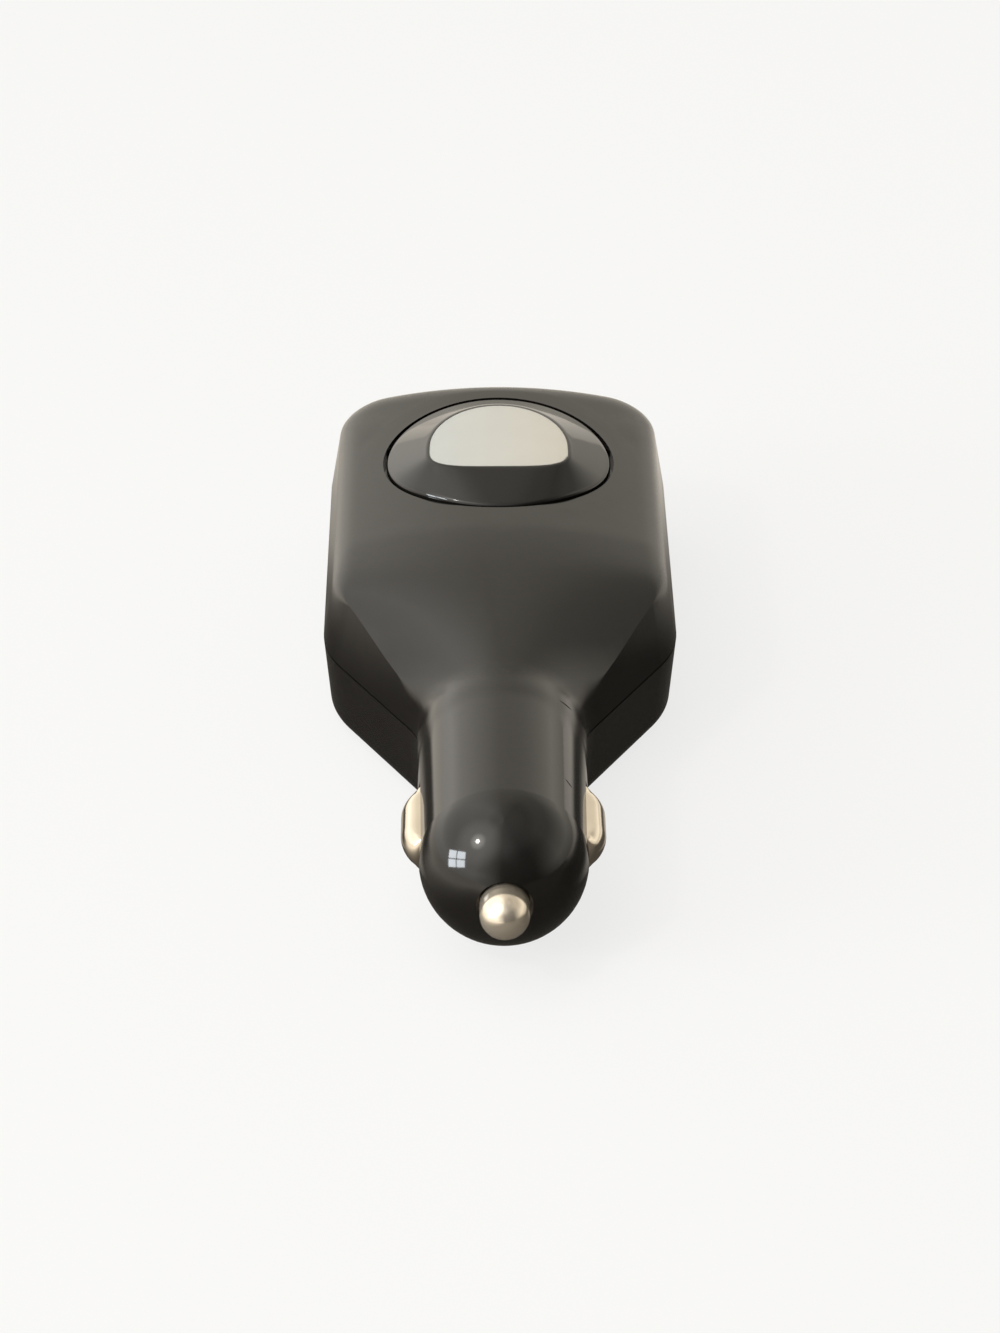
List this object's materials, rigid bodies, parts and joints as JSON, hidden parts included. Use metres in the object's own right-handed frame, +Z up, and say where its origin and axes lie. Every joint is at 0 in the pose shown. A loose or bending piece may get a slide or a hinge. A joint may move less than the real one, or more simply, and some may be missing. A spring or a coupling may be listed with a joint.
{
  "type": "car usb charger plug",
  "caption": "Flat car charger on a lighter-socket plug: crowned two-part head, round bezel with a D-shaped lit window, sprung centre pin and side contacts, usb sockets at the rear.",
  "frame": {"origin": "centre of the whole part's plan outline, on the plane of the flat base", "axes": "+Z up through the window, -Y along the plug axis towards the centre pin's tip, +X across to the right when the pin points at the viewer"},
  "size_m": [0.0466, 0.117, 0.0268],
  "materials": {
    "housing_black": "glossy black moulding with faint hairline scratches",
    "bezel_black": "glossy black trim",
    "lens_white": "milky white diffuser, slightly warm",
    "contact_metal": "polished nickel plate, warm in reflection",
    "board_green": "solder-masked glass-fibre board",
    "socket_shell": "tinned steel sheet",
    "tongue_white": "plain moulded insulator",
    "gilt_contacts": "gilt strip",
    "ferrite": "sintered ferrite, dark grey",
    "copper_winding": "enamelled copper wire",
    "capacitor_can": "bare aluminium can",
    "chip_black": "moulded epoxy",
    "chip_tan": "ceramic chip",
    "lamp_clear": "clear epoxy",
    "tinned_wire": "tinned wire",
    "fuse_glass": "clear glass tube",
    "tube_tan": "insulating tube",
    "spring_steel": "bright spring steel",
    "brass_terminal": "stamped brass",
    "wire_red": "red insulation",
    "wire_black": "black insulation",
    "screw_steel": "zinc-plated steel"
  },
  "bodies": {
    "housing": {"upper_housing": "housing_black", "lower_housing": "housing_black", "bezel": "bezel_black", "indicator_lens": "lens_white", "circuit_board": "board_green", "usb_shell_left": "socket_shell", "usb_shell_right": "socket_shell", "usb_tongue_left": "tongue_white", "usb_tongue_right": "tongue_white", "usb_contacts_left": "gilt_contacts", "usb_contacts_right": "gilt_contacts", "inductor_core": "ferrite", "inductor_winding": "copper_winding", "input_capacitor": "capacitor_can", "output_capacitor": "capacitor_can", "controller_chip": "chip_black", "rectifier_diode": "chip_black", "small_parts": "chip_tan", "indicator_lamp": "lamp_clear", "lamp_leads": "tinned_wire", "fuse_tube": "tube_tan", "pin_spring": "spring_steel", "rear_terminal": "brass_terminal", "positive_wire": "wire_red", "ground_wire": "wire_black", "contact_spring_left": "spring_steel", "contact_spring_right": "spring_steel", "ground_clip": "brass_terminal", "housing_screws": "screw_steel"},
    "pin": {"centre_pin": "contact_metal", "fuse_glass": "fuse_glass", "fuse_caps": "contact_metal", "fuse_element": "tinned_wire"},
    "left_contact": {"side_contact_left": "contact_metal"},
    "right_contact": {"side_contact_right": "contact_metal"}
  },
  "joints": [
    {"name": "pin_slide", "type": "slide", "parent": "housing", "child": "pin", "axis": [0, 1, 0], "range_m": [0, 0.003], "stiffness_N_per_m": 1200, "springref_m": -0.002, "deforming": ["pin_spring"]},
    {"name": "left_contact_slide", "type": "slide", "parent": "housing", "child": "left_contact", "axis": [1, 0, 0], "range_m": [0, 0.0016], "stiffness_N_per_m": 1500, "springref_m": -0.001, "deforming": ["contact_spring_left"]},
    {"name": "right_contact_slide", "type": "slide", "parent": "housing", "child": "right_contact", "axis": [-1, 0, 0], "range_m": [0, 0.0016], "stiffness_N_per_m": 1500, "springref_m": -0.001, "deforming": ["contact_spring_right"]}
  ]
}
